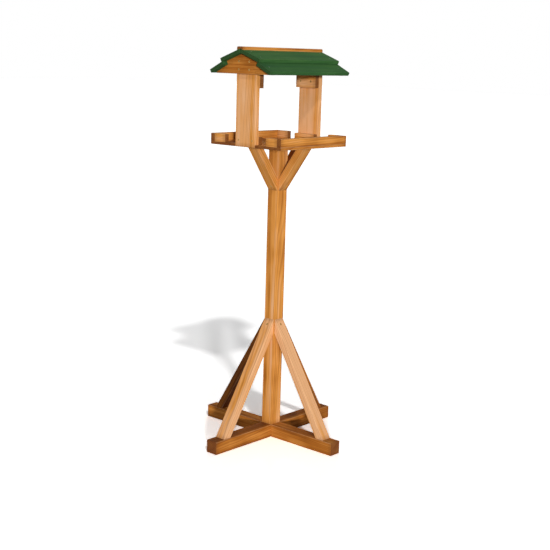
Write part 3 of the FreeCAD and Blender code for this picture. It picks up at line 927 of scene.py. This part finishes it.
class BIRD_TABLE_OT_roof_boards(bpy.types.Operator):
    """Four roof boards, the upper ones lapped over the lower ones"""

    bl_idname = "bird_table.roof_boards"
    bl_label = "Roof boards"

    def execute(self, context):
        for level in ("upper", "lower"):
            for face in FACES:
                node = f"roof_board_{level}_{face}"
                start, end = reach(node, X)
                corners = [corner + X * start for corner in roof_board_section(level, face)]
                timber(node, corners, X * (end - start), X, f"roof_board_{level}", green=True)
        return {"FINISHED"}


class BIRD_TABLE_OT_ridge_cap(bpy.types.Operator):
    """Ridge cap with a V underneath and bevelled top edges"""

    bl_idname = "bird_table.ridge_cap"
    bl_label = "Ridge cap"

    def execute(self, context):
        board = roof_board_section("upper", "back")
        half = reach("ridge_cap", Y)[1]
        top = reach("ridge_cap", Z)[1]
        bevel = settings().timber.cap_bevel
        side_foot = height_on(board[3], board[2], half)
        ridge = height_on(board[3], board[2], 0)
        outline = [(-half, side_foot), (0, ridge), (half, side_foot), (half, top - bevel),
                   (half - bevel, top), (bevel - half, top), (-half, top - bevel)]
        timber("ridge_cap", *section_corners("ridge_cap", outline), X, "ridge_cap",
               arris=settings().timber.arris / 2)
        return {"FINISHED"}


class BIRD_TABLE_OT_screws(bpy.types.Operator):
    """Countersunk screws in the joints"""

    bl_idname = "bird_table.screws"
    bl_label = "Screws"

    def execute(self, context):
        zinc = plated_steel("Yellow zinc-plated steel", settings().fasteners.zinc, 0.38)
        dress_fasteners(SCREW_NODES, screw_pattern, zinc)
        return {"FINISHED"}


class BIRD_TABLE_OT_nails(bpy.types.Operator):
    """Nails in the roof boards and the ridge cap"""

    bl_idname = "bird_table.nails"
    bl_label = "Nails"

    def execute(self, context):
        coat = plated_steel("Galvanised steel", settings().fasteners.galvanised, 0.43)
        dress_fasteners(NAIL_NODES, nail_pattern, coat)
        return {"FINISHED"}


class BIRD_TABLE_OT_stage(bpy.types.Operator):
    """Pale floor, soft light and the camera"""

    bl_idname = "bird_table.stage"
    bl_label = "Stage"

    def execute(self, context):
        values = settings().stage
        self.add_camera(context, values)
        self.add_floor(values)
        self.add_light(context, values)
        context.scene.view_settings.view_transform = "Standard"
        return {"FINISHED"}

    def add_camera(self, context, values):
        """Camera at the photograph's angle, from the post outwards."""
        sine, cosine = math.sin(values.azimuth), math.cos(values.azimuth)
        place = Vector((sine * values.distance, -cosine * values.distance, values.height))
        level, drop = math.cos(values.pitch), math.sin(values.pitch)
        ahead = Vector((-sine * level, cosine * level, -drop))
        across = Vector((cosine, sine, 0))
        above = across.cross(ahead)
        turn, keep = math.sin(values.roll), math.cos(values.roll)
        right = across * keep + above * turn
        up = above * keep - across * turn
        data = bpy.data.cameras.new("camera")
        data.lens = values.lens
        camera = bpy.data.objects.new("camera", data)
        context.scene.collection.objects.link(camera)
        turned = Matrix((right, up, -ahead)).transposed().to_4x4()
        camera.matrix_world = Matrix.Translation(place) @ turned
        context.scene.camera = camera

    def add_floor(self, values):
        """White floor that fades into the background and keeps the shadow."""
        half = 40.0  # Metres, so that its edges are out of sight
        corners = ((-half, -half, 0), (half, -half, 0), (half, half, 0), (-half, half, 0))
        floor = new_object("floor", lambda work: work.faces.new(
            [work.verts.new(corner) for corner in corners]))
        material, tree = new_material("White studio floor")
        matt = add_node(tree, "ShaderNodeBsdfDiffuse", {"Color": (*values.floor, 1)})
        bright = add_node(tree, "ShaderNodeBsdfDiffuse", {"Color": (*[values.floor_gain] * 3, 1)})
        mix = add_node(tree, "ShaderNodeMixShader", (seen_plainly(tree), matt, bright))
        add_node(tree, "ShaderNodeOutputMaterial", (mix,))
        floor.data.materials.append(material)

    def add_light(self, context, values):
        """Low light and high light beside the camera, a low one behind, and a white sky. Each
        light has its strength, and its degrees beside the camera, above the floor and across."""
        lights = (("front light", values.front_strength, 6, 5, 4),
                  ("top light", values.top_strength, 11.5, 39, 3),
                  ("back light", values.back_strength, 180, 10, 10))
        for name, strength, *degrees in lights:
            aside, rise, spread = (math.radians(degree) for degree in degrees)
            data = bpy.data.lights.new(name, "SUN")
            data.energy = strength
            data.angle = spread
            light = bpy.data.objects.new(name, data)
            context.scene.collection.objects.link(light)
            light.visible_glossy = name != "back light"
            bearing, level = values.azimuth + aside, math.cos(rise)
            source = Vector((math.sin(bearing) * level, -math.cos(bearing) * level,
                             math.sin(rise)))
            light.matrix_world = source.to_track_quat("Z", "Y").to_matrix().to_4x4()
        world = bpy.data.worlds.new("studio")
        context.scene.world = world
        world.use_nodes = True
        tree = world.node_tree
        tree.nodes.clear()
        way = add_node(tree, "ShaderNodeTexCoord", output="Generated")
        height = add_node(tree, "ShaderNodeSeparateXYZ", (way,), output="Z")
        fall = -values.fill_fall * values.fill_strength
        strength = calculate(tree, "MULTIPLY_ADD", height, fall, values.fill_strength)
        sky = add_node(tree, "ShaderNodeBackground", ((1, 1, 1, 1), strength))
        white = add_node(tree, "ShaderNodeBackground", ((1, 1, 1, 1), 1))
        mix = add_node(tree, "ShaderNodeMixShader", (seen_plainly(tree), sky, white))
        add_node(tree, "ShaderNodeOutputWorld", (mix,))


class BirdTableSettings(bpy.types.PropertyGroup):
    """All settings of the bird table."""

    timber: PointerProperty(type=TimberSettings)
    roof: PointerProperty(type=RoofSettings)
    fasteners: PointerProperty(type=FastenerSettings)
    stage: PointerProperty(type=StageSettings)


STEPS = (
    BIRD_TABLE_OT_bores, BIRD_TABLE_OT_foot_bars, BIRD_TABLE_OT_post, BIRD_TABLE_OT_braces,
    BIRD_TABLE_OT_tray_floor, BIRD_TABLE_OT_tray_rails, BIRD_TABLE_OT_uprights,
    BIRD_TABLE_OT_battens, BIRD_TABLE_OT_gable_boards, BIRD_TABLE_OT_roof_boards,
    BIRD_TABLE_OT_ridge_cap, BIRD_TABLE_OT_screws, BIRD_TABLE_OT_nails, BIRD_TABLE_OT_stage)


class BIRD_TABLE_PT_panel(bpy.types.Panel):
    """Lists the table's settings and the steps that build it"""

    bl_idname = "BIRD_TABLE_PT_panel"
    bl_label = "Bird Table"
    bl_space_type = "VIEW_3D"
    bl_region_type = "UI"
    bl_category = "Bird Table"

    def draw(self, context):
        groups = context.scene.bird_table
        for name in ("timber", "roof", "fasteners", "stage"):
            group = getattr(groups, name)
            box = self.layout.box()
            box.label(text=name.capitalize())
            for field in group.__annotations__:
                box.prop(group, field)
        for step in STEPS:
            self.layout.operator(step.bl_idname)


CLASSES = (
    TimberSettings, RoofSettings, FastenerSettings, StageSettings, BirdTableSettings, *STEPS,
    BIRD_TABLE_PT_panel)


def register():
    for cls in CLASSES:
        bpy.utils.register_class(cls)
    bpy.types.Scene.bird_table = PointerProperty(type=BirdTableSettings)


def unregister():
    del bpy.types.Scene.bird_table
    for cls in reversed(CLASSES):
        bpy.utils.unregister_class(cls)


def main():
    """Build the bird table."""
    register()
    for step in STEPS:
        group, name = step.bl_idname.split(".")
        getattr(getattr(bpy.ops, group), name)()
    bpy.data.objects.remove(bpy.data.objects["bores"])


if __name__ == "__main__":
    main()
